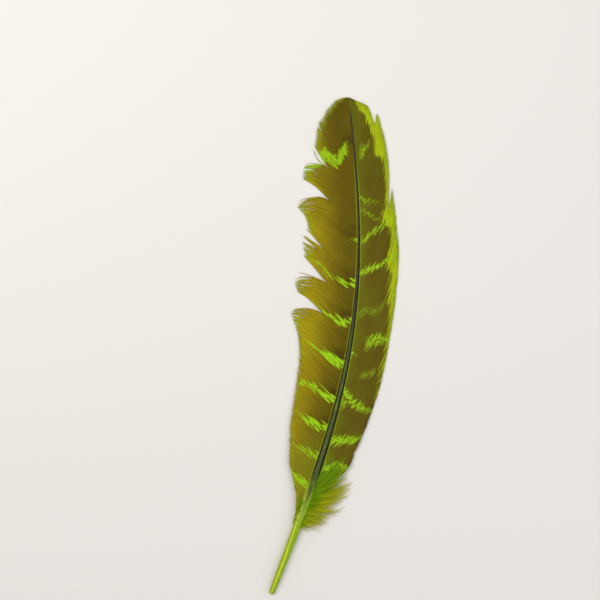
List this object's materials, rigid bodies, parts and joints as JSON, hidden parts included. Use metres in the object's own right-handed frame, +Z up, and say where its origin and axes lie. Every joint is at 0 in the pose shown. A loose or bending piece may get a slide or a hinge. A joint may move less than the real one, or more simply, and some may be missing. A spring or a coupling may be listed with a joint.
{
  "type": "turkey quill feather",
  "caption": "Dyed and barred wing quill feather lying flat: a curved shaft with a wide and a narrow vane, split into locks, and down at the base.",
  "frame": {"origin": "centre of the bounding box in plan, on the surface that the feather lies on", "axes": "+Y along the feather towards its tip, +X across it towards the narrow leading vane, +Z up from the surface"},
  "size_m": [0.0743, 0.2836, 0.0047],
  "materials": {
    "vane": "satin",
    "shaft": "satin",
    "down": "matte"
  },
  "bodies": {
    "root": {"feather": "vane"}
  },
  "joints": []
}
